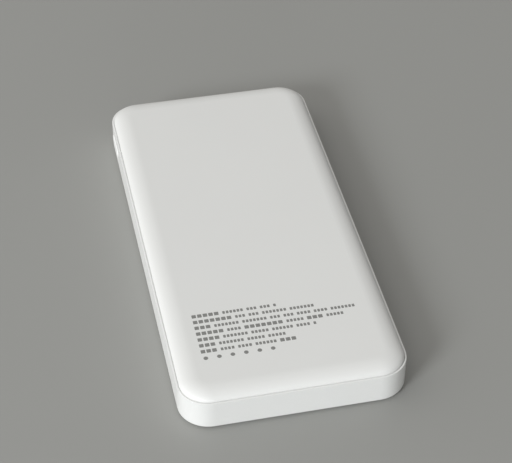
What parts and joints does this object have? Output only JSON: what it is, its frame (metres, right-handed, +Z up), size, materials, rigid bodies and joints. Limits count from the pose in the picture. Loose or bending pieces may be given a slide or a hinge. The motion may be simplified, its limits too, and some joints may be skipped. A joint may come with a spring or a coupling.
{
  "type": "power bank",
  "caption": "Slim pocket power bank: a crowned cover on a straight-walled tray around a pouch cell and its board, with USB sockets in one end and a side power button.",
  "frame": {"origin": "middle of the bottom face, on the surface that the power bank lies on", "axes": "+Z up through the thickness, +Y along the length towards the end with the sockets, +X across the width; the power button is on the -X wall"},
  "size_m": [0.0703, 0.148, 0.013],
  "materials": {
    "case_white": "satin moulded",
    "button_white": "satin moulded",
    "plunger_white": "moulded",
    "board_green": "solder mask",
    "screw_steel": "zinc plated",
    "shell_nickel": "nickel plated sheet",
    "socket_black": "moulded",
    "contact_gold": "gold flashed",
    "chip_black": "moulded epoxy",
    "ferrite_grey": "sintered",
    "solder_tin": "bright tin",
    "capacitor_can": "drawn can",
    "ceramic_tan": "sintered",
    "resistor_black": "glazed top",
    "led_clear": "clear resin",
    "pouch_silver": "laminated foil",
    "tab_aluminium": "rolled strip",
    "tab_nickel": "rolled strip",
    "tape_amber": "polyimide film",
    "lead_red": "silicone insulation",
    "lead_black": "silicone insulation",
    "adhesive_white": "tissue tape",
    "foam_grey": "closed cell foam",
    "paper_pale": "insulating paper"
  },
  "bodies": {
    "case": {"base_tray": "case_white", "top_cover": "case_white", "main_board": "board_green", "board_screws": "screw_steel", "usb_a_shell_left": "shell_nickel", "usb_a_shell_right": "shell_nickel", "micro_usb_shell": "shell_nickel", "usb_c_shell": "shell_nickel", "usb_a_tongue_left": "socket_black", "usb_a_tongue_right": "socket_black", "micro_usb_tongue": "socket_black", "usb_c_tongue": "socket_black", "usb_a_contacts_left": "contact_gold", "usb_a_contacts_right": "contact_gold", "micro_usb_contacts": "contact_gold", "usb_c_contacts": "contact_gold", "switch_housing": "chip_black", "switch_bracket": "shell_nickel", "switch_dome": "shell_nickel", "indicator_leds": "led_clear", "led_baffle": "plunger_white", "inductor_cores": "ferrite_grey", "inductor_terminals": "solder_tin", "controller_chip": "chip_black", "mosfet_bodies": "chip_black", "mosfet_legs": "solder_tin", "output_capacitors": "capacitor_can", "capacitor_bases": "chip_black", "small_capacitors": "ceramic_tan", "chip_resistors": "resistor_black", "battery_cell": "pouch_silver", "cell_end_seal": "pouch_silver", "cell_tab_positive": "tab_aluminium", "cell_tab_negative": "tab_nickel", "protection_board": "board_green", "protection_chips": "chip_black", "protection_tape": "tape_amber", "battery_lead_red": "lead_red", "battery_lead_black": "lead_black", "solder_joints": "solder_tin", "cell_adhesive_strips": "adhesive_white", "cell_foam_pad": "foam_grey", "insulating_sheet": "paper_pale"},
    "power_button": {"power_button": "button_white"},
    "switch_plunger": {"switch_plunger": "plunger_white"}
  },
  "joints": [
    {"name": "power_button_press", "type": "slide", "parent": "case", "child": "power_button", "axis": [1, 0, 0], "range_m": [0, 0.0003], "stiffness_N_per_m": 1500},
    {"name": "switch_plunger_press", "type": "slide", "parent": "case", "child": "switch_plunger", "axis": [1, 0, 0], "range_m": [0, 0.0003]}
  ],
  "couplings": [
    {"joint": "switch_plunger_press", "follows": "power_button_press", "ratio": 1}
  ]
}
